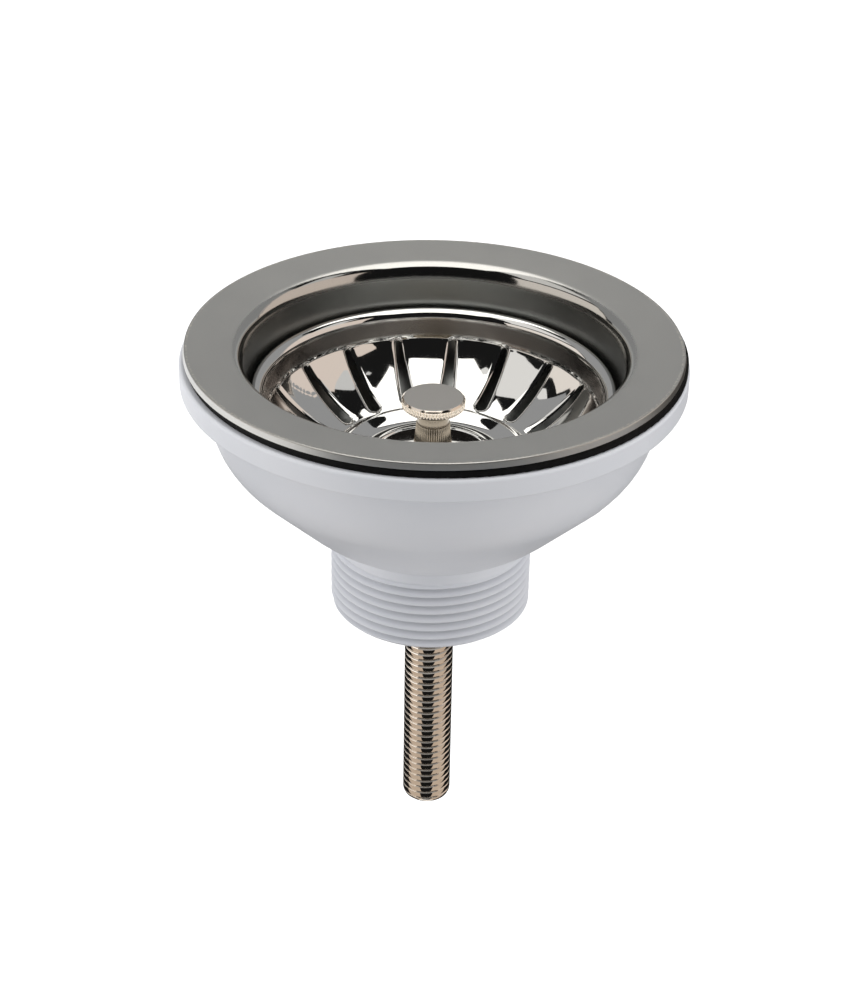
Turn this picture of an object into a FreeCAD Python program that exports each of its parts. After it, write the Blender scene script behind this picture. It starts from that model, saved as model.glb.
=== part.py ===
import FreeCAD, Part
import math
import os

# Kitchen sink waste with a lift-out strainer basket, in millimetres.
# +Z is the common axis of all pieces. Z = 0 is the plane where the flange's lip meets the sink.
# Heights are given as depths below the flange's flat top, because that is how a waste is measured.

# Flange and cup, one drawn sheet
flange_width = 14.05
flange_height = 1.55
flange_edge_taper = 0.3
flange_edge_round = 0.9
cup_sheet = 0.8
cup_mouth_radius = 43.25
cup_mouth_round = 5.0
cup_wall_taper = 0.75
cup_depth = 33.75
cup_corner_round = 18.5
well_radius = 20.6
well_drop = 3.75
well_slope = 1.2
well_round = 1.2
drain_count = 12
drain_width = 3.6
drain_inner_radius = 10.6
drain_edge_gap = 1.0

# Clamp bolt, M12 with a coarse thread drawn at its crests, bored through for the basket's stem
bolt_radius = 5.93
bolt_length = 90.0
bolt_bore_radius = 3.6
bolt_bore_chamfer = 0.6
bolt_end_chamfer = 1.3
bolt_head_radius = 9.4
bolt_head_height = 3.0
bolt_head_round = 0.8
bolt_slot_width = 2.2
bolt_slot_depth = 1.3
bolt_hole_clearance = 0.37

# Soft rings on both sides of the sink
seal_width = 7.4
seal_lip_clearance = 0.3
gasket_width = 8.8
gasket_thickness = 1.95
gasket_round = 0.4
gasket_shift = 0.6

# Moulded body
rim_margin = 1.0
rim_height = 5.4
rim_top_round = 0.8
rim_bottom_round = 0.6
rim_ledge = 4.2
bowl_top_fillet = 0.9
bowl_turn_inset = 4.2
bowl_turn_depth = 24.9
bowl_turn_round = 22.0
bowl_foot_overhang = 5.4
bowl_foot_rise = 3.0
bowl_foot_round = 41.0
body_wall = 2.6
outlet_radius = 23.9
outlet_top_depth = 48.2
outlet_length = 20.5
outlet_chamfer = 1.1
outlet_bore_radius = 20.5
outlet_mouth_round = 2.0

# Spider across the outlet, with the threaded insert in its boss
boss_radius = 10.2
boss_inset = 2.4
boss_length = 12.8
boss_round = 0.8
rib_count = 4
rib_thickness = 2.4
rib_height = 9.5
rib_root = 0.6
insert_radius = 8.2
insert_groove_depth = 0.8
insert_groove_width = 3.6
thread_clearance = 0.05

# Strainer basket, one pressed sheet
basket_sheet = 0.6
basket_rim_gap = 1.15
basket_rim_depth = 10.9
basket_rim_skirt = 2.6
basket_rim_round = 1.1
basket_band_width = 2.9
basket_band_drop = 0.6
basket_wall_taper = 0.7
basket_crease_depth = 18.2
basket_crease_round = 0.5
dish_turn_inset = 5.2
dish_turn_rise = 4.1
dish_turn_round = 32.0
dish_foot_radius = 23.4
dish_foot_rise = 0.5
bead_crest_radius = 21.9
bead_crest_height = 1.2
bead_crest_width = 1.3
bead_crest_slope = 0.3
bead_round = 0.5
basket_centre_radius = 14.2
basket_floor_rise = 3.75
slot_count = 18
slot_first_angle = 3.5
slot_top_gap = 0.2
slot_top_width = 1.15
slot_bottom_width = 2.9
slot_bottom_gap = 1.2

# Knob
knob_height = 15.6
knob_radius = 7.4
knob_chamfer = 0.5
knob_rim_height = 2.5
knob_neck_radius = 3.7
knob_neck_round = 1.3
knob_collar_height = 9.5
knob_collar_top_radius = 3.9
knob_collar_foot_radius = 4.8

# Stem, seal and rings under the basket
stem_thread_radius = 2.0
stem_thread_reach = 9.5
stem_hole_clearance = 0.2
stem_radius = 3.0
stem_reach = 12.5
stem_end_chamfer = 0.8
stem_shoulder_radius = 5.2
stem_shoulder_height = 0.8
plug_seal_thickness = 2.0
plug_seal_overlap = 3.3
plug_seal_lip_width = 2.0
plug_seal_lip_root = 4.2
plug_seal_rib_height = 1.3
plug_seal_rib_width = 1.4
washer_radius = 10.0
washer_thickness = 0.8
ring_section_radius = 0.58
ring_bore_clearance = 0.05
ring_groove_clearance = 0.04
ring_groove_width = 1.5
first_ring_reach = 2.5
ring_spacing = 6.0

# Worked out from the sizes above
flange_radius = cup_mouth_radius + flange_width
drain_outer_radius = well_radius - well_slope - drain_edge_gap
rim_radius = flange_radius + rim_margin
bowl_top_radius = rim_radius - rim_ledge
bowl_turn_radius = bowl_top_radius - bowl_turn_inset
bowl_foot_radius = outlet_radius + bowl_foot_overhang
basket_rim_radius = cup_mouth_radius - basket_rim_gap
plug_seal_radius = well_radius + plug_seal_overlap
well_depth = cup_depth + well_drop
bowl_foot_depth = outlet_top_depth - bowl_foot_rise
boss_top_depth = outlet_top_depth + boss_inset
basket_centre_depth = cup_depth - basket_floor_rise
dish_foot_depth = basket_centre_depth - dish_foot_rise
dish_turn_depth = dish_foot_depth - dish_turn_rise
knob_top_depth = basket_centre_depth - knob_height
knob_collar_depth = basket_centre_depth - knob_collar_height
stem_end_depth = well_depth + stem_reach
ring_depths = (well_depth + first_ring_reach, well_depth + first_ring_reach + ring_spacing)
outlet_end_depth = outlet_top_depth + outlet_length
gasket_bottom_depth = flange_height + gasket_thickness
rim_bottom_depth = gasket_bottom_depth + rim_height
bolt_end_depth = well_depth + bolt_length
basket_underside_depth = basket_centre_depth + basket_sheet
washer_top_depth = basket_underside_depth + plug_seal_thickness
shoulder_top_depth = washer_top_depth + washer_thickness
stem_hole_radius = stem_thread_radius + stem_hole_clearance

axis_point = FreeCAD.Vector(0, 0, 0)
axis_up = FreeCAD.Vector(0, 0, 1)


def level(depth):
    """Height of a depth below the flange's top."""
    return flange_height - depth


def turned(start, corner, end):
    """Signed angle through which the path turns at a corner, positive to the left."""
    heading_in = math.atan2(corner[1] - start[1], corner[0] - start[0])
    heading_out = math.atan2(end[1] - corner[1], end[0] - corner[0])
    return (heading_out - heading_in + math.pi) % (2 * math.pi) - math.pi


def distance(a, b):
    return math.hypot(b[0] - a[0], b[1] - a[1])


def towards(a, b, length):
    """Point at a given length from a on the way to b."""
    share = length / distance(a, b)
    return (a[0] + share * (b[0] - a[0]), a[1] + share * (b[1] - a[1]))


def path(corners):
    """Corners given as (radius, depth) or (radius, depth, rounding), turned into heights."""
    return [(c[0], level(c[1]), c[2] if len(c) > 2 else 0.0) for c in corners]


def moved_left(points, gap):
    """An open path moved to its left by a gap, with every rounding kept concentric."""
    lines = []
    for a, b in zip(points, points[1:]):
        run = distance(a, b)
        side = (-(b[1] - a[1]) / run * gap, (b[0] - a[0]) / run * gap)
        lines.append(((a[0] + side[0], a[1] + side[1]), (b[0] + side[0], b[1] + side[1])))
    moved = [(lines[0][0][0], lines[0][0][1], 0.0)]
    for i in range(1, len(points) - 1):
        (a, b), (c, d) = lines[i - 1], lines[i]
        across = (b[0] - a[0]) * (d[1] - c[1]) - (b[1] - a[1]) * (d[0] - c[0])
        share = ((c[0] - a[0]) * (d[1] - c[1]) - (c[1] - a[1]) * (d[0] - c[0])) / across
        turn = turned(points[i - 1], points[i], points[i + 1])
        rounding = max(points[i][2] - math.copysign(gap, turn), 0.0)
        moved.append((a[0] + share * (b[0] - a[0]), a[1] + share * (b[1] - a[1]), rounding))
    moved.append((lines[-1][1][0], lines[-1][1][1], 0.0))
    return moved


def at_radius(a, b, radius):
    """Point where the line through a and b reaches a radius."""
    share = (radius - a[0]) / (b[0] - a[0])
    return (radius, a[1] + share * (b[1] - a[1]), 0.0)


def at_height(a, b, height):
    """Point where the line through a and b reaches a height."""
    share = (height - a[1]) / (b[1] - a[1])
    return (a[0] + share * (b[0] - a[0]), height, 0.0)


def outline(points):
    """Closed wire in the XZ plane through the points, with tangent arcs at rounded corners."""
    count = len(points)
    setbacks = []
    for i in range(count):
        turn = abs(turned(points[i - 1], points[i], points[(i + 1) % count]))
        setbacks.append(points[i][2] * math.tan(turn / 2))
    for i in range(count):
        following = (i + 1) % count
        run = distance(points[i], points[following])
        needed = setbacks[i] + setbacks[following]
        if needed > 0.98 * run:
            setbacks[i] *= 0.98 * run / needed
            setbacks[following] *= 0.98 * run / needed
    edges = []
    ends = []
    for i in range(count):
        corner = points[i]
        if setbacks[i] < 1e-6:
            ends.append((corner, corner))
            continue
        enter = towards(corner, points[i - 1], setbacks[i])
        leave = towards(corner, points[(i + 1) % count], setbacks[i])
        turn = abs(turned(points[i - 1], corner, points[(i + 1) % count]))
        radius = setbacks[i] / math.tan(turn / 2)
        halfway = ((enter[0] + leave[0]) / 2, (enter[1] + leave[1]) / 2)
        crown = towards(corner, halfway, radius / math.cos(turn / 2) - radius)
        edges.append((i, Part.Arc(vector(enter), vector(crown), vector(leave)).toShape()))
        ends.append((enter, leave))
    for i in range(count):
        leave = ends[i][1]
        enter = ends[(i + 1) % count][0]
        if distance(leave, enter) > 1e-6:
            edges.append((i + 0.5, Part.LineSegment(vector(leave), vector(enter)).toShape()))
    return Part.Wire([edge for place, edge in sorted(edges, key=lambda item: item[0])])


def vector(point):
    return FreeCAD.Vector(point[0], 0, point[1])


def lathe(points):
    """Solid of revolution of a closed section about the common axis."""
    return Part.Face(outline(points)).revolve(axis_point, axis_up, 360)


def lathe_sheet(points, thickness):
    """Pressed sheet: its top surface runs through the points, with the metal on their left."""
    under = moved_left(points, thickness)
    under[0] = at_height(under[0], under[1], points[0][1])
    return lathe(points + under[::-1])


def around(shape, count, first_angle=0.0):
    """Copies of a shape spread evenly about the axis."""
    copies = []
    for i in range(count):
        copy = shape.copy()
        copy.rotate(axis_point, axis_up, first_angle + 360.0 * i / count)
        copies.append(copy)
    return copies


def radial_cutter(inner_radius, outer_radius, inner_width, outer_width, low_depth, high_depth):
    """Upright cutter along +X with a round inner end, as wide as given at each of its ends."""
    low = level(low_depth)
    centre = inner_radius + inner_width / 2
    half_in = inner_width / 2
    half_out = outer_width / 2
    start = FreeCAD.Vector(centre, half_in, low)
    crown = FreeCAD.Vector(inner_radius, 0, low)
    end = FreeCAD.Vector(centre, -half_in, low)
    near = FreeCAD.Vector(outer_radius, -half_out, low)
    far = FreeCAD.Vector(outer_radius, half_out, low)
    edges = [
        Part.Arc(start, crown, end).toShape(),
        Part.LineSegment(end, near).toShape(),
        Part.LineSegment(near, far).toShape(),
        Part.LineSegment(far, start).toShape(),
    ]
    return Part.Face(Part.Wire(edges)).extrude(axis_up * (low_depth - high_depth))


def flange_cup():
    """Flange with a turned-down lip, straight wall, bowl, seat ring for the plug and a drained well."""
    bolt_hole_radius = bolt_radius + bolt_hole_clearance
    sheet = lathe_sheet(path([
        (flange_radius, flange_height),
        (flange_radius - flange_edge_taper, 0.0, flange_edge_round),
        (cup_mouth_radius, 0.0, cup_mouth_round),
        (cup_mouth_radius - cup_wall_taper, cup_depth, cup_corner_round),
        (well_radius, cup_depth, well_round),
        (well_radius - well_slope, well_depth, well_round),
        (bolt_hole_radius, well_depth),
    ]), cup_sheet)
    low = well_depth + 2 * cup_sheet
    high = well_depth - cup_sheet
    round_end_centre = drain_outer_radius - drain_width / 2
    slot = radial_cutter(drain_inner_radius, round_end_centre, drain_width, drain_width, low, high)
    end = Part.makeCylinder(drain_width / 2, low - high, FreeCAD.Vector(round_end_centre, 0, level(low)))
    return sheet.cut(around(slot.fuse(end), drain_count))


def flange_seal():
    """Thin soft ring that fills the hollow under the flange, level with the lip."""
    outer = flange_radius - flange_edge_taper - cup_sheet - seal_lip_clearance
    inner = outer - seal_width
    return lathe(path([
        (inner, cup_sheet),
        (outer, cup_sheet),
        (outer, flange_height),
        (inner, flange_height),
    ]))


def clamp_bolt():
    """Hollow bolt with a slotted round head that sits in the cup's well."""
    head_top = well_depth - bolt_head_height
    blank = lathe(path([
        (bolt_bore_radius, head_top + bolt_bore_chamfer),
        (bolt_bore_radius + bolt_bore_chamfer, head_top),
        (bolt_head_radius, head_top, bolt_head_round),
        (bolt_head_radius, well_depth),
        (bolt_radius, well_depth),
        (bolt_radius, bolt_end_depth - bolt_end_chamfer, bolt_end_chamfer),
        (bolt_radius - bolt_end_chamfer, bolt_end_depth),
        (bolt_bore_radius, bolt_end_depth),
    ]))
    slot = Part.makeBox(
        2 * bolt_head_radius + 2.0, bolt_slot_width, bolt_slot_depth + 1.0,
        FreeCAD.Vector(-bolt_head_radius - 1.0, -bolt_slot_width / 2, level(head_top + bolt_slot_depth)),
    )
    return blank.cut(slot)


def body_gasket():
    """Rubber ring as wide as the flange, which lies on the body's rim a little off centre."""
    inner = flange_radius - gasket_width
    ring = lathe(path([
        (inner, flange_height, gasket_round),
        (flange_radius, flange_height, gasket_round),
        (flange_radius, gasket_bottom_depth, gasket_round),
        (inner, gasket_bottom_depth, gasket_round),
    ]))
    ring.translate(FreeCAD.Vector(gasket_shift, 0, 0))
    return ring


def insert_section(bore_radius):
    """Section of the threaded insert, with a groove round it that the plastic fills."""
    bottom = boss_top_depth + boss_length
    groove_top = boss_top_depth + (boss_length - insert_groove_width) / 2
    groove_bottom = groove_top + insert_groove_width
    groove_radius = insert_radius - insert_groove_depth
    return path([
        (bore_radius, boss_top_depth),
        (insert_radius, boss_top_depth),
        (insert_radius, groove_top),
        (groove_radius, groove_top),
        (groove_radius, groove_bottom),
        (insert_radius, groove_bottom),
        (insert_radius, bottom),
        (bore_radius, bottom),
    ])


def threaded_insert():
    """Brass insert that the bolt screws into, bored to the thread's crests."""
    return lathe(insert_section(bolt_radius + thread_clearance))


def waste_body():
    """Moulded body: rim, bowl and outlet in one wall, with a spider and boss across the outlet."""
    slope = (bowl_top_radius - bowl_turn_radius) / (bowl_turn_depth - rim_bottom_depth)
    wall_at_rim_top = bowl_top_radius + slope * rim_height
    outer = path([
        (wall_at_rim_top, gasket_bottom_depth),
        (bowl_turn_radius, bowl_turn_depth, bowl_turn_round),
        (bowl_foot_radius, bowl_foot_depth, bowl_foot_round),
        (outlet_radius, outlet_top_depth),
    ])
    inner = moved_left(outer, -body_wall)
    rim_inner = at_height(inner[0], inner[1], level(gasket_bottom_depth))
    mouth = at_radius(inner[2], inner[3], outlet_bore_radius)
    shell = lathe([rim_inner] + path([
        (rim_radius, gasket_bottom_depth, rim_top_round),
        (rim_radius, rim_bottom_depth, rim_bottom_round),
        (bowl_top_radius, rim_bottom_depth, bowl_top_fillet),
    ]) + outer[1:] + path([
        (outlet_radius, outlet_end_depth - outlet_chamfer),
        (outlet_radius - outlet_chamfer, outlet_end_depth),
        (outlet_bore_radius, outlet_end_depth),
    ]) + [(mouth[0], mouth[1], outlet_mouth_round), inner[2], inner[1]])
    boss = lathe(path([
        (0.0, boss_top_depth),
        (boss_radius, boss_top_depth, boss_round),
        (boss_radius, boss_top_depth + boss_length, boss_round),
        (0.0, boss_top_depth + boss_length),
    ]))
    rib = Part.makeBox(
        outlet_bore_radius + rib_root, rib_thickness, rib_height,
        FreeCAD.Vector(0, -rib_thickness / 2, level(boss_top_depth + rib_height)),
    )
    solid = shell.fuse([boss] + around(rib, rib_count, 180.0 / rib_count)).removeSplitter()
    return solid.cut(lathe(insert_section(0.0)))


def strainer_basket():
    """Basket with a rolled rim, a dished wall, a bead round its floor and tapered slots up its wall."""
    wall_top_radius = basket_rim_radius - basket_band_width
    crest_depth = dish_foot_depth - bead_crest_height
    sheet = lathe_sheet(path([
        (basket_rim_radius, basket_rim_depth + basket_rim_skirt),
        (basket_rim_radius, basket_rim_depth, basket_rim_round),
        (wall_top_radius, basket_rim_depth + basket_band_drop, basket_sheet + 0.1),
        (wall_top_radius - basket_wall_taper, basket_crease_depth, basket_crease_round),
        (wall_top_radius - basket_wall_taper - dish_turn_inset, dish_turn_depth, dish_turn_round),
        (dish_foot_radius, dish_foot_depth, bead_round),
        (bead_crest_radius, crest_depth, bead_round),
        (bead_crest_radius - bead_crest_width, crest_depth - bead_crest_slope, bead_round),
        (basket_centre_radius, basket_centre_depth, bead_round),
        (stem_hole_radius, basket_centre_depth),
    ]), basket_sheet)
    slot = radial_cutter(
        dish_foot_radius + slot_bottom_gap, basket_rim_radius, slot_bottom_width, slot_top_width,
        dish_foot_depth + 3 * basket_sheet, basket_crease_depth + slot_top_gap,
    )
    return sheet.cut(around(slot, slot_count, slot_first_angle))


def basket_knob():
    """Turned knob with a flat top, a waist and a collar that stands on the basket's floor."""
    rim_foot = knob_top_depth + knob_rim_height
    hole_top = basket_centre_depth - stem_thread_reach
    hole_radius = stem_thread_radius + thread_clearance
    return lathe(path([
        (0.0, knob_top_depth),
        (knob_radius - knob_chamfer, knob_top_depth),
        (knob_radius, knob_top_depth + knob_chamfer),
        (knob_radius, rim_foot - knob_chamfer),
        (knob_radius - knob_chamfer, rim_foot),
        (knob_neck_radius, rim_foot + knob_chamfer, knob_neck_round),
        (knob_neck_radius, knob_collar_depth),
        (knob_collar_top_radius, knob_collar_depth),
        (knob_collar_foot_radius, basket_centre_depth),
        (hole_radius, basket_centre_depth),
        (hole_radius, hole_top),
        (0.0, hole_top - hole_radius),
    ]))


def plug_seal():
    """Moulded seal: a disc under the basket, a rib into its bead and a lip that meets the cup's seat."""
    rib_outer = bead_crest_radius - basket_sheet
    rib_inner = rib_outer - plug_seal_rib_width
    disc_bottom = washer_top_depth
    return lathe(path([
        (stem_hole_radius, basket_underside_depth),
        (rib_inner, basket_underside_depth),
        (rib_inner, basket_underside_depth - plug_seal_rib_height, plug_seal_rib_width / 3),
        (rib_outer, basket_underside_depth - plug_seal_rib_height, plug_seal_rib_width / 3),
        (rib_outer, basket_underside_depth),
        (plug_seal_radius, basket_underside_depth, plug_seal_rib_width / 3),
        (plug_seal_radius, cup_depth),
        (plug_seal_radius - plug_seal_lip_width, cup_depth),
        (plug_seal_radius - plug_seal_lip_root, disc_bottom),
        (stem_hole_radius, disc_bottom),
    ]))


def seal_washer():
    """Flat washer that backs the seal."""
    return lathe(path([
        (stem_hole_radius, washer_top_depth),
        (washer_radius, washer_top_depth),
        (washer_radius, shoulder_top_depth),
        (stem_hole_radius, shoulder_top_depth),
    ]))


def ring_centre_radius():
    return bolt_bore_radius - ring_bore_clearance - ring_section_radius


def plug_stem():
    """Stem with a threaded top, a shoulder under the washer and a grooved shank in the bolt."""
    thread_top = basket_centre_depth - stem_thread_reach + thread_clearance
    shoulder_foot = shoulder_top_depth + stem_shoulder_height
    groove_radius = ring_centre_radius() - ring_section_radius - ring_groove_clearance
    corners = [
        (0.0, thread_top),
        (stem_thread_radius, thread_top),
        (stem_thread_radius, shoulder_top_depth),
        (stem_shoulder_radius, shoulder_top_depth),
        (stem_shoulder_radius, shoulder_foot),
        (stem_radius, shoulder_foot),
    ]
    for depth in ring_depths:
        corners += [
            (stem_radius, depth - ring_groove_width / 2),
            (groove_radius, depth - ring_groove_width / 2),
            (groove_radius, depth + ring_groove_width / 2),
            (stem_radius, depth + ring_groove_width / 2),
        ]
    corners += [
        (stem_radius, stem_end_depth - stem_end_chamfer),
        (stem_radius - stem_end_chamfer, stem_end_depth),
        (0.0, stem_end_depth),
    ]
    return lathe(path(corners))


def stem_rings():
    """Two rubber rings in the stem's grooves, each its own solid."""
    rings = []
    for depth in ring_depths:
        centre = FreeCAD.Vector(0, 0, level(depth))
        rings.append(Part.makeTorus(ring_centre_radius(), ring_section_radius, centre, axis_up))
    return Part.makeCompound(rings)


pieces = {
    "flange_cup": flange_cup,
    "flange_seal": flange_seal,
    "clamp_bolt": clamp_bolt,
    "body_gasket": body_gasket,
    "waste_body": waste_body,
    "threaded_insert": threaded_insert,
    "strainer_basket": strainer_basket,
    "basket_knob": basket_knob,
    "plug_seal": plug_seal,
    "seal_washer": seal_washer,
    "plug_stem": plug_stem,
    "stem_rings": stem_rings,
}

os.makedirs("parts", exist_ok=True)
for name, make in pieces.items():
    shape = make()
    shape.exportStep("parts/" + name + ".step")
    print(name, "solids", len(shape.Solids), "volume", round(shape.Volume, 1), "valid", shape.isValid())
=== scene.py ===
import math

import bmesh
import bpy
from mathutils import Matrix, Vector

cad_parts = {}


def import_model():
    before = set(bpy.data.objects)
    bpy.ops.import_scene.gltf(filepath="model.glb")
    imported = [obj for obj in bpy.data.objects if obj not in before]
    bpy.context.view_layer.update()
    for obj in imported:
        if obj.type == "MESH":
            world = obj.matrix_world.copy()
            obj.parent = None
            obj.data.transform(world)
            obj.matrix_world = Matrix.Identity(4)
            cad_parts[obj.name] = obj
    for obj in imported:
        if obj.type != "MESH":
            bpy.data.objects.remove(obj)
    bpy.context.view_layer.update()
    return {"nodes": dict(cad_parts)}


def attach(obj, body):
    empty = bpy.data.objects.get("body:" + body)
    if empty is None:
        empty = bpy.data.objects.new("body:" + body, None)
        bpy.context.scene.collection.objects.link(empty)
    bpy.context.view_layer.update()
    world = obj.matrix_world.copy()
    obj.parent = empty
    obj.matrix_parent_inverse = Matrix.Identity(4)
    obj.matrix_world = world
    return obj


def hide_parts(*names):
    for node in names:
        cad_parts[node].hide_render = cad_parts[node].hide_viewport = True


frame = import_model()
nodes = frame["nodes"]

# Sizes in millimetres and angles in degrees. Depths are measured down from the top of the flange's edge.
mm = 0.001
flange_height = 1.55

# Flange and cup
cup_mouth_radius = 44.0
flange_radius = 57.3
flange_edge_taper = 0.3
flange_edge_round = 0.35
flange_dish = 1.1
flange_sheet_low = 0.77
cup_sheet = 0.8
cup_mouth_round = 2.9
cup_mouth_lean = 68.0
cup_throat_radius = 43.67
cup_throat_depth = 4.26
cup_throat_round = 7.5
cup_wall_taper = 1.5
cup_depth = 33.75
cup_corner_round = 18.5
well_radius = 20.6
well_slope = 1.2
well_round = 1.2
well_depth = 37.5
drain_count = 12
drain_half_width = 1.8
drain_inner_radius = 10.6
drain_outer_radius = 18.4
drain_edge_width = 0.3
drain_edge_drop = 0.06
bolt_hole_radius = 6.3

# Clamp bolt
bolt_radius = 5.93
bolt_end_depth = 127.5
bolt_bore_radius = 3.6
bolt_bore_chamfer = 0.6
bolt_end_round = 1.8
bolt_end_drop = 1.3
bolt_head_radius = 9.4
bolt_head_height = 3.0
bolt_head_round = 0.8
bolt_slot_width = 2.2
bolt_slot_depth = 1.3
bolt_neck = 1.2
bolt_pitch = 1.75
bolt_crest_share = 0.76
bolt_flank_slope = 1.7
bolt_root_share = 0.04
bolt_thread_rounding = 0.02
bolt_bore_end_chamfer = 0.4

# Moulded body
gasket_bottom_depth = 3.5
rim_radius = 58.3
rim_bottom_depth = 8.9
rim_top_round = 0.8
rim_bottom_round = 0.6
bowl_top_radius = 54.1
bowl_top_fillet = 0.9
bowl_turn_radius = 49.9
bowl_turn_depth = 24.9
bowl_turn_round = 22.0
bowl_foot_radius = 29.3
bowl_foot_depth = 45.2
bowl_foot_round = 41.0
body_wall = 2.6
outlet_radius = 23.9
outlet_neck_radius = 23.55
outlet_neck_length = 0.6
outlet_neck_round = 0.5
outlet_top_depth = 48.2
outlet_end_depth = 68.7
outlet_chamfer = 1.1
outlet_bore_radius = 20.5
outlet_mouth_round = 2.0
outlet_pitch = 2.309
outlet_thread_depth = 51.2
outlet_thread_run_in = 0.9
outlet_flank_angle = 27.5
outlet_front_valley_depth = 52.9
boss_radius = 10.2
boss_top_depth = 50.6
boss_length = 12.8
boss_round = 0.8
insert_radius = 8.2
rib_count = 4
rib_thickness = 2.4
rib_height = 9.5
rib_root = 0.6
seam_angles = (143.0, 323.0)
seam_height = 0.09
seam_half_angle = 0.28

# Strainer basket
basket_sheet = 0.6
basket_rim_radius = 42.1
basket_rim_depth = 10.9
basket_rim_skirt = 2.6
basket_rim_round = 1.1
basket_band_width = 2.9
basket_band_drop = 0.6
basket_band_round = 2.6
basket_wall_taper = 0.7
basket_crease_depth = 18.2
basket_crease_round = 0.5
dish_turn_radius = 33.3
dish_turn_depth = 25.4
dish_turn_round = 32.0
dish_foot_radius = 23.4
dish_foot_depth = 29.5
bead_crest_radius = 21.9
bead_crest_depth = 28.3
bead_crest_width = 1.3
bead_crest_slope = 0.3
bead_round = 0.5
basket_centre_radius = 14.2
basket_centre_depth = 30.0
centre_step = 0.25
centre_dish_radius = 17.2
centre_dish_depth = 29.65
centre_dish_round = 8.0
centre_edge_round = 0.1
stem_hole_radius = 2.2
slot_count = 18
slot_first_angle = 3.5
slot_foot_radius = 24.6
slot_foot_half_width = 1.45
slot_head_radius = 38.35
slot_head_half_width = 0.78
slot_edge_width = 1.0
slot_edge_drop = 0.42

# Knob
knob_top_depth = 14.4
knob_radius = 7.4
knob_chamfer = 0.5
knob_rim_height = 2.5
knob_neck_radius = 3.7
knob_neck_round = 1.3
knob_collar_depth = 20.5
knob_collar_top_radius = 3.9
knob_collar_foot_radius = 4.8
knob_hole_radius = 2.05
knob_hole_depth = 20.5
knob_edge_round = 0.07
collar_chamfer_height = 0.12
rim_teeth = 64
rim_tooth_depth = 0.24
collar_teeth = 48
collar_tooth_depth = 0.2


# Smallest distances that count in outlines and meshes
tiny = 1e-9
weld_distance = 0.0004


def level(depth):
    """Height of a depth."""
    return flange_height - depth


# Outlines, as corners (radius, height, rounding) joined by straight runs and tangent arcs.
# Two roundings may take this share of the run between them.
rounding_limit = 0.98


def path(corners):
    return [(c[0], level(c[1]), c[2] if len(c) > 2 else 0.0) for c in corners]


def heading_change(a, b, c):
    into = math.atan2(b[1] - a[1], b[0] - a[0])
    out = math.atan2(c[1] - b[1], c[0] - b[0])
    return (out - into + math.pi) % (2 * math.pi) - math.pi


def gap(a, b):
    return math.hypot(b[0] - a[0], b[1] - a[1])


def towards(a, b, length):
    share = length / gap(a, b)
    return (a[0] + share * (b[0] - a[0]), a[1] + share * (b[1] - a[1]))


def moved_left(points, distance):
    """An open path moved to its left, with every rounding kept concentric."""
    lines = []
    for a, b in zip(points, points[1:]):
        run = gap(a, b)
        side = (-(b[1] - a[1]) / run * distance, (b[0] - a[0]) / run * distance)
        lines.append(((a[0] + side[0], a[1] + side[1]), (b[0] + side[0], b[1] + side[1])))
    moved = [(*lines[0][0], 0.0)]
    for i in range(1, len(points) - 1):
        (a, b), (c, d) = lines[i - 1], lines[i]
        across = (b[0] - a[0]) * (d[1] - c[1]) - (b[1] - a[1]) * (d[0] - c[0])
        share = ((c[0] - a[0]) * (d[1] - c[1]) - (c[1] - a[1]) * (d[0] - c[0])) / across
        turn = heading_change(points[i - 1], points[i], points[i + 1])
        rounding = max(points[i][2] - math.copysign(distance, turn), 0.0)
        moved.append((a[0] + share * (b[0] - a[0]), a[1] + share * (b[1] - a[1]), rounding))
    moved.append((*lines[-1][1], 0.0))
    return moved


def stretches(corners):
    """Runs ("line", start, end, length) and arcs ("arc", centre, radius, angle, sweep, length)."""
    count = len(corners)
    setback = [0.0] * count
    turns = [0.0] * count
    for i in range(1, count - 1):
        turns[i] = heading_change(corners[i - 1], corners[i], corners[i + 1])
        setback[i] = corners[i][2] * math.tan(abs(turns[i]) / 2)
    for i in range(count - 1):
        run = rounding_limit * gap(corners[i], corners[i + 1])
        needed = setback[i] + setback[i + 1]
        if needed > run:
            setback[i] *= run / needed
            setback[i + 1] *= run / needed
    parts = []
    at = corners[0][:2]
    for i in range(1, count):
        corner = corners[i][:2]
        enter = corner if setback[i] < tiny else towards(corner, corners[i - 1], setback[i])
        if gap(at, enter) > tiny:
            parts.append(("line", at, enter, gap(at, enter)))
        at = corner
        if setback[i] < tiny:
            continue
        radius = setback[i] / math.tan(abs(turns[i]) / 2)
        ahead = towards(enter, corner, 1.0)
        side = math.copysign(radius, turns[i])
        centre = (enter[0] - (ahead[1] - enter[1]) * side, enter[1] + (ahead[0] - enter[0]) * side)
        angle = math.atan2(enter[1] - centre[1], enter[0] - centre[0])
        parts.append(("arc", centre, radius, angle, turns[i], radius * abs(turns[i])))
        at = towards(corner, corners[i + 1], setback[i])
    return parts


def point_on(part, share):
    if part[0] == "line":
        return tuple(a + share * (b - a) for a, b in zip(part[1], part[2]))
    angle = part[3] + part[4] * share
    return (part[1][0] + part[2] * math.cos(angle), part[1][1] + part[2] * math.sin(angle))


def point_at(parts, along):
    """Point at a length along the path."""
    for part in parts:
        if along <= part[-1] + tiny or part is parts[-1]:
            return point_on(part, min(along / part[-1], 1.0))
        along -= part[-1]


def marks(parts, arc_step, longest):
    """Lengths along the path at which it needs a point."""
    found = [0.0]
    total = 0.0
    for part in parts:
        pieces = max(math.ceil(part[-1] / longest), 1)
        if part[0] == "arc":
            pieces = max(pieces, 2, math.ceil(abs(math.degrees(part[4])) / arc_step))
        found += [total + part[-1] * (k + 1) / pieces for k in range(pieces)]
        total += part[-1]
    return found


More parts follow.
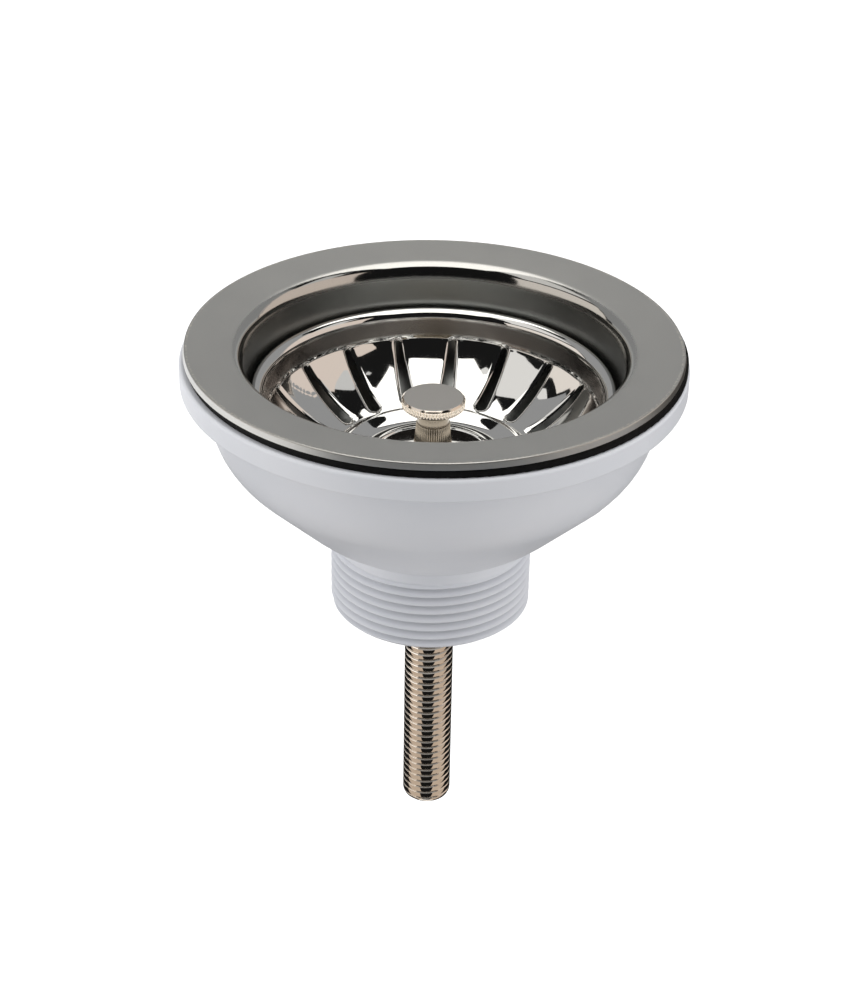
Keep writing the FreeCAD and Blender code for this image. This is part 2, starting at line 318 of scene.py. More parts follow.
def sampled(corners, arc_step=9.0, longest=math.inf):
    parts = stretches(corners)
    return [point_at(parts, along) for along in marks(parts, arc_step, longest)]


def length_at_radius(parts, radius):
    """Length along an inward path at which it reaches a radius."""
    low = 0.0
    high = sum(part[-1] for part in parts)
    for _ in range(50):
        middle = (low + high) / 2
        if point_at(parts, middle)[0] > radius:
            low = middle
        else:
            high = middle
    return low


# Meshes
def polar(radius, degrees, height):
    angle = math.radians(degrees)
    return (radius * math.cos(angle) * mm, radius * math.sin(angle) * mm, height * mm)


def even_angles(columns):
    return [360.0 * j / columns for j in range(columns + 1)]


def ring(radius, height, angles):
    return [polar(radius, angle, height) for angle in angles]


def sewn(name, grids):
    """One mesh of quads through grids of rows of points, with points that coincide made one."""
    mesh = bmesh.new()
    for rows in grids:
        made = [[mesh.verts.new(point) for point in row] for row in rows]
        for upper, lower in zip(made, made[1:]):
            for j in range(len(upper) - 1):
                mesh.faces.new((upper[j], upper[j + 1], lower[j + 1], lower[j]))
    bmesh.ops.remove_doubles(mesh, verts=mesh.verts, dist=weld_distance * mm)
    bmesh.ops.dissolve_degenerate(mesh, edges=mesh.edges, dist=weld_distance * mm)
    data = bpy.data.meshes.new(name)
    mesh.to_mesh(data)
    mesh.free()
    piece = bpy.data.objects.new(name, data)
    bpy.context.scene.collection.objects.link(piece)
    return piece


def closed(name, rows):
    """Closed skin through rows that run round the axis, the last joined to the first."""
    piece = sewn(name, [rows + [rows[0]]])
    outward(piece)
    return piece


def outward(piece):
    mesh = bmesh.new()
    mesh.from_mesh(piece.data)
    bmesh.ops.recalc_face_normals(mesh, faces=mesh.faces)
    mesh.to_mesh(piece.data)
    mesh.free()


def settle(piece):
    """Applies the modifiers to the mesh."""
    bpy.context.view_layer.update()
    graph = bpy.context.evaluated_depsgraph_get()
    data = bpy.data.meshes.new_from_object(piece.evaluated_get(graph))
    piece.modifiers.clear()
    piece.data = data


def combine(piece, others, operation):
    """Joins or cuts a piece with others, which are then removed."""
    for other in others:
        modifier = piece.modifiers.new("combine", "BOOLEAN")
        modifier.operation = operation
        modifier.solver = "EXACT"
        modifier.object = other
    settle(piece)
    for other in others:
        bpy.data.objects.remove(other)


def smooth(piece, sharp_above=32.0):
    """Smooth shading with crisp edges, flats kept flat beside their roundings."""
    for face in piece.data.polygons:
        face.use_smooth = True
    piece.data.set_sharp_from_angle(angle=math.radians(sharp_above))
    modifier = piece.modifiers.new("even shading", "WEIGHTED_NORMAL")
    modifier.keep_sharp = True
    modifier.weight = 50


def thicken(piece, thickness):
    """Gives a skin its sheet's thickness on the side away from its normals."""
    modifier = piece.modifiers.new("sheet", "SOLIDIFY")
    modifier.thickness = thickness * mm
    modifier.offset = -1.0
    modifier.use_even_offset = True
    modifier.use_quality_normals = True
    settle(piece)


def thread_relief(phase, pitch, flank_slope, crest_share, root_share, rounding):
    """How far a thread's surface lies below its crests, with the corners of its section rounded."""
    total = 0.0
    samples = 9
    for k in range(samples):
        t = phase + rounding * (2 * k / (samples - 1) - 1)
        t = abs((t + 0.5) % 1.0 - 0.5)
        t = min(max(t, crest_share), 0.5 - root_share)
        total += (t - crest_share) * pitch * flank_slope
    return total / samples


def thread_rows(radius_at, top, bottom, zero, pitch, phases, angles):
    """Rows that follow a right-hand helix between two heights. radius_at takes a height and a phase."""
    rows = []
    first = math.floor((zero - top) / pitch) - 1
    last = math.ceil((zero - bottom) / pitch) + 1
    for turn in range(first, last + 1):
        for phase in phases:
            row = []
            for angle in angles:
                height = zero - pitch * (turn + phase - angle / 360.0)
                height = min(max(height, bottom), top)
                place = (zero - height) / pitch + angle / 360.0
                row.append(polar(radius_at(height, place), angle, height))
            rows.append(row)
    return rows


def ease(value):
    value = min(max(value, 0.0), 1.0)
    return value * value * (3 - 2 * value)


def slotted_sheet(name, corners, slots, edge_offsets, middle_steps, arc_step, longest):
    """Turned sheet with slots up its wall. Its columns follow the slots' edges, which may be turned down.

    slots holds count, first_angle, head and foot radii, their half widths, and the turned edge's
    width and drop. The path runs inwards, so a slot's head comes before its foot.
    """
    parts = stretches(corners)
    total = sum(part[-1] for part in parts)
    head_width, foot_width = slots["head_half_width"], slots["foot_half_width"]
    head = length_at_radius(parts, slots["head_radius"]) + head_width
    foot = length_at_radius(parts, slots["foot_radius"]) - foot_width

    def half_width(along):
        if along < head:
            return math.sqrt(max(head_width ** 2 - (head - along) ** 2, 0.0))
        if along > foot:
            return math.sqrt(max(foot_width ** 2 - (along - foot) ** 2, 0.0))
        return head_width + (foot_width - head_width) * (along - head) / (foot - head)

    def from_slot(along, across):
        if along < head:
            return math.hypot(head - along, across) - head_width
        if along > foot:
            return math.hypot(along - foot, across) - foot_width
        return across - half_width(along)

    steps = 5
    clear = 0.1
    nudge = 0.01
    special = []
    for k in range(steps + 1):
        turn = math.pi / 2 * k / steps
        special += [head - head_width * math.cos(turn), foot + foot_width * math.cos(turn)]
    for offset in edge_offsets[1:]:
        special += [head - head_width - offset, foot + foot_width + offset]
    plain = [a for a in marks(parts, arc_step, longest) if all(abs(a - b) > clear for b in special)]
    rows_at = sorted(plain + special)
    sector = 360.0 / slots["count"]
    reach = edge_offsets[-1]
    strips = []
    for n in range(slots["count"]):
        strip = []
        for along in rows_at:
            radius, height = point_at(parts, along)
            before = point_at(parts, max(along - nudge, 0.0))
            after = point_at(parts, min(along + nudge, total))
            run = gap(before, after)
            down = (-(after[1] - before[1]) / run, (after[0] - before[0]) / run)
            middle = radius * math.radians(sector) / 2
            edge = half_width(along)
            scale = min(1.0, (middle - edge) / (2.0 * reach))
            across = [edge + offset * scale for offset in edge_offsets]
            rest = middle - across[-1]
            across += [across[-1] + rest * (k + 1) / middle_steps for k in range(middle_steps)]
            centre = slots["first_angle"] + sector * n
            row = []
            for side, widths in ((1, across), (-1, across[-2::-1])):
                for width in widths:
                    share = 1.0 - min(max(from_slot(along, width), 0.0) / slots["edge_width"], 1.0)
                    drop = slots["edge_drop"] * share * share
                    angle = centre + (0.0 if side > 0 else sector) + side * math.degrees(width / radius)
                    row.append(polar(radius + down[0] * drop, angle, height + down[1] * drop))
            strip.append(row)
        strips.append(strip)
    return sewn(name, strips)


# Materials, with the object's own coordinates driving their fine detail
class Finish:
    """Principled material whose detail comes from noise, sized in millimetres, in the part's frame."""

    def __init__(self, name, colour, metallic, roughness, **sockets):
        self.material = bpy.data.materials.new(name)
        self.material.use_nodes = True
        self.tree = self.material.node_tree
        self.shader = self.tree.nodes["Principled BSDF"]
        self.shader.inputs["Base Color"].default_value = (*colour, 1.0)
        self.shader.inputs["Metallic"].default_value = metallic
        self.shader.inputs["Roughness"].default_value = roughness
        for socket, value in sockets.items():
            self.shader.inputs[socket.replace("_", " ")].default_value = value
        self.coordinates = self.node("ShaderNodeTexCoord").outputs["Object"]
        self.normal = None

    def node(self, kind, **settings):
        made = self.tree.nodes.new(kind)
        for key, value in settings.items():
            setattr(made, key, value)
        return made

    def feed(self, target, source):
        if isinstance(source, bpy.types.NodeSocket):
            self.tree.links.new(source, target)
        else:
            target.default_value = source

    def noise(self, size, detail=3.0, stretch=(1.0, 1.0, 1.0)):
        """Noise between 0 and 1 with features of a size in millimetres."""
        scaled = self.node("ShaderNodeVectorMath", operation="MULTIPLY")
        self.feed(scaled.inputs[0], self.coordinates)
        scaled.inputs[1].default_value = tuple(1.0 / (size * mm * s) for s in stretch)
        texture = self.node("ShaderNodeTexNoise")
        texture.inputs["Scale"].default_value = 1.0
        texture.inputs["Detail"].default_value = detail
        self.feed(texture.inputs["Vector"], scaled.outputs[0])
        return texture.outputs["Fac"]

    def radius(self):
        """Distance from the axis, in millimetres."""
        flat = self.node("ShaderNodeVectorMath", operation="MULTIPLY")
        self.feed(flat.inputs[0], self.coordinates)
        flat.inputs[1].default_value = (1.0 / mm, 1.0 / mm, 0.0)
        length = self.node("ShaderNodeVectorMath", operation="LENGTH")
        self.feed(length.inputs[0], flat.outputs[0])
        return length.outputs["Value"]

    def height(self):
        """Height in the part's frame, in millimetres."""
        split = self.node("ShaderNodeSeparateXYZ")
        self.feed(split.inputs[0], self.coordinates)
        return self.math("MULTIPLY", split.outputs["Z"], 1.0 / mm)

    def math(self, operation, a, b):
        made = self.node("ShaderNodeMath", operation=operation)
        self.feed(made.inputs[0], a)
        self.feed(made.inputs[1], b)
        return made.outputs[0]

    def ranged(self, value, low, high, to_low=0.0, to_high=1.0):
        made = self.node("ShaderNodeMapRange", clamp=True)
        self.feed(made.inputs["Value"], value)
        numbers = {"From Min": low, "From Max": high, "To Min": to_low, "To Max": to_high}
        for socket, number in numbers.items():
            self.feed(made.inputs[socket], number)
        return made.outputs["Result"]

    def mixed(self, share, a, b):
        """Colour between a and b."""
        made = self.node("ShaderNodeMix", data_type="RGBA")
        self.feed(made.inputs[0], share)
        for socket, colour in ((made.inputs[6], a), (made.inputs[7], b)):
            self.feed(socket, colour if isinstance(colour, bpy.types.NodeSocket) else (*colour, 1.0))
        return made.outputs[2]

    def colour(self, source):
        self.feed(self.shader.inputs["Base Color"], source)

    def roughness(self, source):
        self.feed(self.shader.inputs["Roughness"], source)

    def bump(self, height, depth):
        """Raises the surface by a height between 0 and 1 times a depth in millimetres."""
        made = self.node("ShaderNodeBump")
        made.inputs["Strength"].default_value = 1.0
        made.inputs["Distance"].default_value = depth * mm
        self.feed(made.inputs["Height"], height)
        if self.normal is not None:
            self.feed(made.inputs["Normal"], self.normal)
        self.normal = made.outputs["Normal"]
        self.feed(self.shader.inputs["Normal"], self.normal)


def polished_steel():
    """Satin on the flange with a lighter, warmer speckled band near its outer edge, polished round the
    cup's mouth, and duller on its drawn wall, whose dark colour is painted shade.
    """
    dark_satin, pale_satin = (0.545, 0.545, 0.53), (0.61, 0.61, 0.593)
    drawn_wall_painted_shade, edge_band_tone = (0.33, 0.34, 0.335), (0.90, 0.86, 0.78)
    polished, dull = 0.09, 0.32
    finish = Finish("polished_steel", (0.62, 0.62, 0.60), 1.0, 0.34)
    radius = finish.radius()
    polish_edge = cup_mouth_radius + 0.42 * cup_mouth_round
    satin_edge = cup_mouth_radius + 0.8 * cup_mouth_round
    flat = finish.ranged(radius, polish_edge, satin_edge)
    # Painted shade: the drawn wall below the mouth gets a dark colour that stands in for the dark
    # reflections inside the cup.
    drawn = finish.ranged(finish.height(), level(cup_throat_depth - 0.8), level(cup_throat_depth + 0.6))
    grain = finish.noise(0.16, 2.0)
    cloud = finish.noise(9.0, 3.0)
    grain_roughness = finish.ranged(grain, 0.3, 0.7, 0.32, 0.42)
    cloud_roughness = finish.ranged(cloud, 0.3, 0.7, -0.02, 0.02)
    satin = finish.math("ADD", grain_roughness, cloud_roughness)
    inner = finish.ranged(drawn, 0.0, 1.0, polished, dull)
    over_inner = finish.math("MULTIPLY", flat, finish.math("SUBTRACT", satin, inner))
    finish.roughness(finish.math("ADD", over_inner, inner))
    # A speckled band, lighter and warmer in colour, just inside the flange's rounded outer edge.
    outside = finish.ranged(radius, flange_radius - 1.1, flange_radius - 0.9)
    inside = finish.ranged(radius, flange_radius - 0.4, flange_radius - 0.7)
    near_edge = finish.math("MULTIPLY", outside, inside)
    spots = finish.ranged(finish.noise(0.7, 3.0), 0.42, 0.66, 0.0, 0.7)
    edge_band = finish.math("MULTIPLY", near_edge, spots)
    satin_colour = finish.mixed(finish.ranged(grain, 0.2, 0.8), dark_satin, pale_satin)
    finish.colour(finish.mixed(edge_band, finish.mixed(drawn, satin_colour, drawn_wall_painted_shade), edge_band_tone))
    finish.bump(finish.math("MULTIPLY", grain, flat), 0.006)
    return finish.material


def mirror_steel():
    """Mirror polish with the slight unevenness of a pressed sheet, softer on its steep wall, where a dark
    brownish colour is painted reflection.
    """
    bright, steep_wall_painted_reflection = (0.80, 0.80, 0.79), (0.27, 0.25, 0.235)
    finish = Finish("mirror_steel", bright, 1.0, 0.05)
    above_crease = finish.ranged(
        finish.height(), level(basket_crease_depth - 0.6), level(basket_crease_depth - 1.4),
    )
    below_rim = finish.ranged(finish.height(), level(basket_rim_depth + 1.6), level(basket_rim_depth + 2.8))
    wall = finish.math("MULTIPLY", above_crease, below_rim)
    polish = finish.ranged(finish.noise(3.0, 3.0), 0.35, 0.75, 0.03, 0.06)
    finish.roughness(finish.math("ADD", polish, finish.ranged(wall, 0.0, 1.0, 0.0, 0.2)))
    # Painted reflection: the steep wall's dark, brownish colour stands in for the dark cup wall and the
    # knob's collar that it mirrors.
    finish.colour(finish.mixed(wall, bright, steep_wall_painted_reflection))
    finish.bump(finish.noise(7.0, 1.0), 0.02)
    return finish.material


def nickel_plate():
    """Warm, bright nickel."""
    dark_nickel, pale_nickel = (0.76, 0.68, 0.59), (0.84, 0.77, 0.69)
    finish = Finish("nickel_plate", (0.80, 0.72, 0.63), 1.0, 0.05)
    finish.roughness(finish.ranged(finish.noise(1.2, 3.0), 0.3, 0.7, 0.03, 0.08))
    finish.colour(finish.mixed(finish.ranged(finish.noise(2.5, 3.0), 0.3, 0.7), dark_nickel, pale_nickel))
    return finish.material


def knob_nickel():
    """Nickel that is satin and greyer on the knob's flat top, with painted shade darkening its neck and
    collar.
    """
    neck_painted_shade, side_tone, top_tone = (0.28, 0.245, 0.20), (0.82, 0.74, 0.65), (0.68, 0.66, 0.63)
    finish = Finish("knob_nickel", (0.80, 0.72, 0.63), 1.0, 0.16)
    top = level(knob_top_depth)
    on_top = finish.ranged(finish.height(), top - 0.06, top - 0.01)
    grain = finish.noise(0.16, 2.0)
    finish.roughness(finish.ranged(on_top, 0.0, 1.0, 0.11, 0.36))
    collar = knob_collar_foot_radius
    beyond_collar = finish.ranged(finish.radius(), collar + 0.1, collar + 0.6)
    # Painted shade: the neck and collar under the knob's rim get a dark colour in place of the shade that
    # falls there.
    finish.colour(finish.mixed(on_top, finish.mixed(beyond_collar, neck_painted_shade, side_tone), top_tone))
    finish.bump(grain, 0.004)
    return finish.material


def plain_brass():
    """Turned brass with fine rings of tool marks."""
    dark_brass, pale_brass = (0.72, 0.54, 0.25), (0.84, 0.66, 0.34)
    finish = Finish("plain_brass", (0.80, 0.62, 0.30), 1.0, 0.25)
    finish.colour(finish.mixed(finish.ranged(finish.noise(1.5, 3.0), 0.3, 0.7), dark_brass, pale_brass))
    finish.roughness(finish.ranged(finish.noise(0.8, 3.0), 0.3, 0.7, 0.2, 0.34))
    finish.bump(finish.noise(0.25, 2.0, (8.0, 8.0, 1.0)), 0.004)
    return finish.material


def black_rubber():
    """Matt black rubber with a faint bloom."""
    finish = Finish("black_rubber", (0.003, 0.003, 0.003), 0.0, 0.62, Specular_IOR_Level=0.15)
    cloud = finish.ranged(finish.noise(1.6, 3.0), 0.3, 0.7)
    finish.colour(finish.mixed(cloud, (0.002, 0.002, 0.002), (0.005, 0.005, 0.005)))
    finish.roughness(finish.ranged(finish.noise(0.5, 2.0), 0.3, 0.7, 0.55, 0.72))
    finish.bump(finish.noise(0.2, 3.0), 0.012)
    return finish.material


def white_plastic():
    """Moulded plastic, semi-matte with a very fine texture, faint flow marks and painted shade in the
    outlet's thread roots.
    """
    dark_flow, pale_flow, root_painted_shade = (0.82, 0.835, 0.88), (0.845, 0.855, 0.895), (0.64, 0.652, 0.69)
    finish = Finish("white_plastic", (0.83, 0.845, 0.89), 0.0, 0.42, IOR=1.49)
    flow = finish.noise(26.0, 2.0, (1.0, 1.0, 0.5))
    tone = finish.mixed(finish.ranged(flow, 0.35, 0.65), dark_flow, pale_flow)
    radius = finish.radius()
    outside = finish.ranged(radius, outlet_bore_radius + 0.6, outlet_bore_radius + 1.2)
    low = finish.ranged(radius, outlet_radius - 0.45, outlet_radius - 1.35)
    on_outlet = finish.ranged(finish.height(), level(outlet_top_depth + 1.0), level(outlet_top_depth + 1.6))
    # Painted shade: the outlet's thread roots get a darker colour in place of the shade that gathers in
    # them.
    root = finish.math("MULTIPLY", on_outlet, finish.math("MULTIPLY", outside, low))
    finish.colour(finish.mixed(root, tone, root_painted_shade))
    finish.roughness(finish.ranged(finish.noise(2.2, 3.0), 0.3, 0.7, 0.38, 0.47))
    finish.bump(finish.noise(0.35, 3.0), 0.004)
    return finish.material


# Pieces
def flange_and_cup():
    # The mouth's rounding ends at a lean, and a wider one leads on to the wall
    mouth_corner = cup_mouth_radius + cup_mouth_round * (1 - math.tan(math.radians(cup_mouth_lean) / 2))
    piece = slotted_sheet("flange_and_cup", path([
        (flange_radius, flange_height),
        (flange_radius - flange_edge_taper, 0.0, flange_edge_round),
        (mouth_corner, flange_dish, cup_mouth_round),
        (cup_throat_radius, cup_throat_depth, cup_throat_round),
        (cup_mouth_radius - cup_wall_taper, cup_depth, cup_corner_round),
        (well_radius, cup_depth, well_round),
        (well_radius - well_slope, well_depth, well_round),
        (bolt_hole_radius, well_depth),
    ]), {
        "count": drain_count, "first_angle": 0.0,
        "head_radius": drain_outer_radius, "head_half_width": drain_half_width,
        "foot_radius": drain_inner_radius, "foot_half_width": drain_half_width,
        "edge_width": drain_edge_width, "edge_drop": drain_edge_drop,
    }, edge_offsets=(0.0, 0.12, 0.3), middle_steps=9, arc_step=8.0, longest=6.0)
    thicken(piece, cup_sheet)
    # The dished flange stays above the flat seal under it
    seal_from = cup_mouth_radius + cup_mouth_round + 0.8
    seal_to = flange_radius - cup_sheet - 0.3
    for vertex in piece.data.vertices:
        if seal_from < math.hypot(vertex.co.x, vertex.co.y) / mm < seal_to:
            vertex.co.z = max(vertex.co.z, flange_sheet_low * mm)
    return piece


def strainer_basket():
    wall_top = basket_rim_radius - basket_band_width
    piece = slotted_sheet("strainer_basket_pressed", path([
        (basket_rim_radius, basket_rim_depth + basket_rim_skirt),
        (basket_rim_radius, basket_rim_depth, basket_rim_round),
        (wall_top, basket_rim_depth + basket_band_drop, basket_band_round),
        (wall_top - basket_wall_taper, basket_crease_depth, basket_crease_round),
        (dish_turn_radius, dish_turn_depth, dish_turn_round),
        (dish_foot_radius, dish_foot_depth, bead_round),
        (bead_crest_radius, bead_crest_depth, bead_round),
        (bead_crest_radius - bead_crest_width, bead_crest_depth - bead_crest_slope, bead_round),
        (centre_dish_radius, centre_dish_depth, centre_dish_round),
        (basket_centre_radius + centre_step, centre_dish_depth + 0.1, centre_edge_round),
        (basket_centre_radius, basket_centre_depth, centre_edge_round),
        (stem_hole_radius, basket_centre_depth),
    ]), {
        "count": slot_count, "first_angle": slot_first_angle,
        "head_radius": slot_head_radius, "head_half_width": slot_head_half_width,
        "foot_radius": slot_foot_radius, "foot_half_width": slot_foot_half_width,
        "edge_width": slot_edge_width, "edge_drop": slot_edge_drop,
    }, edge_offsets=(0.0, 0.15, 0.32, 0.52, 0.76, 1.05), middle_steps=4, arc_step=10.0, longest=0.8)
    thicken(piece, basket_sheet)
    return piece


def basket_knob():
    points_per_tooth = 6
    rim_foot = knob_top_depth + knob_rim_height
    angles = even_angles(points_per_tooth * rim_teeth)
    edge = knob_edge_round
    corners = path([
        (0.0, knob_top_depth),
        (knob_radius - knob_chamfer, knob_top_depth, edge),
        (knob_radius, knob_top_depth + knob_chamfer, edge),
        (knob_radius, rim_foot - knob_chamfer, edge),
        (knob_radius - knob_chamfer, rim_foot, edge),
        (knob_neck_radius, rim_foot + knob_chamfer, knob_neck_round),
        (knob_neck_radius, knob_collar_depth, edge),
        (knob_collar_top_radius, knob_collar_depth + collar_chamfer_height, edge),
        (knob_collar_foot_radius, basket_centre_depth),
        (knob_hole_radius, basket_centre_depth),
        (knob_hole_radius, knob_hole_depth),
        (0.0, knob_hole_depth - knob_hole_radius),
    ])
    rows = []
    for radius, height in sampled(corners, 15.0, 0.45):
        depth = flange_height - height
        on_rim = radius > knob_radius - 0.02
        on_collar = depth > knob_collar_depth and knob_neck_radius + 0.1 < radius < knob_radius - 1.0
        teeth, deepest = 1, 0.0
        if on_rim:
            end = min(depth - knob_top_depth - knob_chamfer, rim_foot - knob_chamfer - depth)
            teeth, deepest = rim_teeth, rim_tooth_depth * ease(0.35 + end / 0.3)
        if on_collar:
            end = min(depth - knob_collar_depth, basket_centre_depth - depth)
            teeth, deepest = collar_teeth, collar_tooth_depth * ease(end / 0.2)
        rows.append([polar(radius - deepest * tooth(teeth, angle), angle, height) for angle in angles])
    piece = sewn("basket_knob_knurled", [rows])
    outward(piece)
    return piece


def tooth(count, angle):
    """Share of a knurl's depth at an angle: rounded valleys between narrow crests."""
    swing = abs(math.sin(math.radians(angle) * count / 2))
    return swing ** 0.8


def clamp_bolt():
    angles = even_angles(72)
    head_top = well_depth - bolt_head_height
    bottom = level(bolt_end_depth)
    thread_top = level(well_depth + bolt_neck)
    crest = bolt_crest_share / 2
    rounding = bolt_thread_rounding

    def radius_at(height, place):
        relief = thread_relief(place, bolt_pitch, bolt_flank_slope, crest, bolt_root_share / 2, rounding)
        radius = bolt_radius - relief * ease((thread_top - height) / bolt_pitch)
        into_end = 1.0 - min((height - bottom) / bolt_end_round, 1.0)
        return min(radius, bolt_radius - bolt_end_drop * (1 - math.sqrt(1 - into_end * into_end)))

    edge = (0.0, crest - rounding, crest, crest + rounding, 0.44, 0.48)
    phases = edge + (0.5,) + tuple(1.0 - phase for phase in edge[:0:-1])
    head = sampled(path([
        (bolt_bore_radius, head_top + bolt_bore_chamfer),
        (bolt_bore_radius + bolt_bore_chamfer, head_top),
        (bolt_head_radius, head_top, bolt_head_round),
        (bolt_head_radius, well_depth, 0.2),
        (bolt_radius, well_depth),
    ]))
    rows = [ring(radius, height, angles) for radius, height in head]
    rows += thread_rows(radius_at, thread_top, bottom, thread_top, bolt_pitch, phases, angles)
    rows += [ring(radius, height, angles) for radius, height in sampled(path([
        (bolt_bore_radius + bolt_bore_end_chamfer, bolt_end_depth),
        (bolt_bore_radius, bolt_end_depth - bolt_bore_end_chamfer),
        (bolt_bore_radius, head_top + bolt_bore_chamfer + 1.0),
    ]), 9.0, 9.0)]
    piece = closed("clamp_bolt_threaded", rows)
    cutter_height = 2.0
    cutter_middle = level(head_top + bolt_slot_depth) + cutter_height / 2
    cutter_length = 2 * bolt_head_radius + 2.0
    cutter = block("slot_cutter", cutter_length, bolt_slot_width, cutter_height, 0.0, cutter_middle)
    combine(piece, [cutter], "DIFFERENCE")
    return piece


def block(name, length, width, height, turn, middle, start=None):
    """Box along a direction, from one side of the axis to the other, or from a radius outwards."""
    mesh = bmesh.new()
    bmesh.ops.create_cube(mesh, size=1.0)
    shift = 0.0 if start is None else start + length / 2
    bmesh.ops.scale(mesh, vec=(length * mm, width * mm, height * mm), verts=mesh.verts)
    bmesh.ops.translate(mesh, vec=(shift * mm, 0.0, middle * mm), verts=mesh.verts)
    spin = Matrix.Rotation(math.radians(turn), 3, "Z")
    bmesh.ops.rotate(mesh, cent=(0, 0, 0), matrix=spin, verts=mesh.verts)
    data = bpy.data.meshes.new(name)
    mesh.to_mesh(data)
    mesh.free()
    piece = bpy.data.objects.new(name, data)
    bpy.context.scene.collection.objects.link(piece)
    return piece


def waste_body():
    angles = even_angles(240)
    for seam in seam_angles:
        angles = [a for a in angles if abs(a - seam) > 2 * seam_half_angle]
        angles += [seam - seam_half_angle, seam, seam + seam_half_angle]
    angles.sort()
    slope = (bowl_top_radius - bowl_turn_radius) / (bowl_turn_depth - rim_bottom_depth)
    outer = path([
        (bowl_top_radius + slope * (rim_bottom_depth - gasket_bottom_depth), gasket_bottom_depth),
        (bowl_turn_radius, bowl_turn_depth, bowl_turn_round),
        (bowl_foot_radius, bowl_foot_depth, bowl_foot_round),
        (outlet_radius, outlet_top_depth),
    ])
    inner = moved_left(outer, -body_wall)
    share = (level(gasket_bottom_depth) - inner[0][1]) / (inner[1][1] - inner[0][1])
    rim_inner = (inner[0][0] + share * (inner[1][0] - inner[0][0]), level(gasket_bottom_depth), 0.0)
    share = (outlet_bore_radius - inner[2][0]) / (inner[3][0] - inner[2][0])
    mouth = (outlet_bore_radius, inner[2][1] + share * (inner[3][1] - inner[2][1]), outlet_mouth_round)
    thread_top = level(outlet_top_depth + outlet_neck_length)
    bottom = level(outlet_end_depth)
    flank_slope = 1 / math.tan(math.radians(outlet_flank_angle))

    def skin(radius, height):
        raised = [seam_height if angle in seam_angles else 0.0 for angle in angles]
        return [polar(radius + extra, angle, height) for extra, angle in zip(raised, angles)]

    def radius_at(height, place):
        relief = thread_relief(place, outlet_pitch, flank_slope, 1 / 12, 1 / 12, 1 / 12)
        begun = ease((level(outlet_thread_depth) - height) / outlet_thread_run_in + 0.5)
        radius = outlet_neck_radius + (outlet_radius - relief - outlet_neck_radius) * begun
        return min(radius, outlet_radius - outlet_chamfer + (height - bottom))

    outside = sampled([rim_inner] + path([
        (rim_radius, gasket_bottom_depth, rim_top_round),
        (rim_radius, rim_bottom_depth, rim_bottom_round),
        (bowl_top_radius, rim_bottom_depth, bowl_top_fillet),
    ]) + outer[1:3] + path([
        (outlet_neck_radius, outlet_top_depth, outlet_neck_round),
        (outlet_neck_radius, outlet_top_depth + outlet_neck_length),
    ]), 6.0, 6.0)
    rows = [ring(*outside[0], angles)] + [skin(*point) for point in outside[1:]]
    zero = level(outlet_front_valley_depth) - 0.25 * outlet_pitch
    phases = [k / 12 for k in range(12)]
    rows += thread_rows(radius_at, thread_top, bottom, zero, outlet_pitch, phases, angles)
    bore_chamfer = 0.3
    inside = sampled([
        (outlet_bore_radius + bore_chamfer, bottom, 0.0), (outlet_bore_radius, bottom + bore_chamfer, 0.0),
        mouth, inner[2], inner[1], rim_inner,
    ], 6.0, 6.0)
    rows += [ring(*point, angles) for point in inside[:-1]]
    piece = closed("waste_body_moulded", rows)
    boss_bottom = boss_top_depth + boss_length
    boss_rows = sampled(path([
        (insert_radius, boss_bottom),
        (insert_radius, boss_top_depth),
        (boss_radius, boss_top_depth, boss_round),
        (boss_radius, boss_bottom, boss_round),
        (insert_radius, boss_bottom),
    ]))
    boss = closed("boss", [ring(*point, even_angles(96)) for point in boss_rows[:-1]])
    rib_start = insert_radius + 0.6
    reach = outlet_bore_radius + rib_root - rib_start
    ribs = [block(
        "rib", reach, rib_thickness, rib_height, 360.0 * (k + 0.5) / rib_count,
        level(boss_top_depth + rib_height / 2), rib_start,
    ) for k in range(rib_count)]
    combine(piece, [boss] + ribs, "UNION")
    return piece


steel = polished_steel()
mirror = mirror_steel()
nickel = nickel_plate()
satin_nickel = knob_nickel()
brass = plain_brass()
rubber = black_rubber()
plastic = white_plastic()


def dress(piece, material):
    piece.data.materials.clear()
    piece.data.materials.append(material)


def install(piece, node, body, material, sharp_above=32.0):
    dress(piece, material)
    smooth(piece, sharp_above)
    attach(piece, body)
    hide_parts(node)


install(flange_and_cup(), "flange_cup", "cup", steel)
install(strainer_basket(), "strainer_basket", "basket", mirror, 50.0)
install(basket_knob(), "basket_knob", "basket", satin_nickel, 38.0)
install(clamp_bolt(), "clamp_bolt", "bolt", nickel, 38.0)
install(waste_body(), "waste_body", "body", plastic)
for name, material in (
    ("flange_seal", rubber), ("body_gasket", rubber), ("plug_seal", rubber), ("stem_rings", rubber),
    ("threaded_insert", brass), ("seal_washer", steel), ("plug_stem", nickel),
):
    dress(nodes[name], material)

# Studio, in metres: a white floor, soft lamps at the sides and overhead, and cards that only
# reflections see
floor_height = -0.2
floor_tone = (0.68, 0.68, 0.68)
floor_lift = 0.75
ambient = 0.6
lamp_aim = Vector((0.0, 0.0, -0.03))
room_distance = 1.7
wall_distance = 1.6
ceiling_height = 1.2
near_floor = (0.02, 0.28)
far_floor = (0.28, 1.6)


def emitter(tree, colour, strength):
    made = tree.nodes.new("ShaderNodeEmission")
    made.inputs["Color"].default_value = (*colour, 1.0)
    made.inputs["Strength"].default_value = strength
    return made.outputs[0]


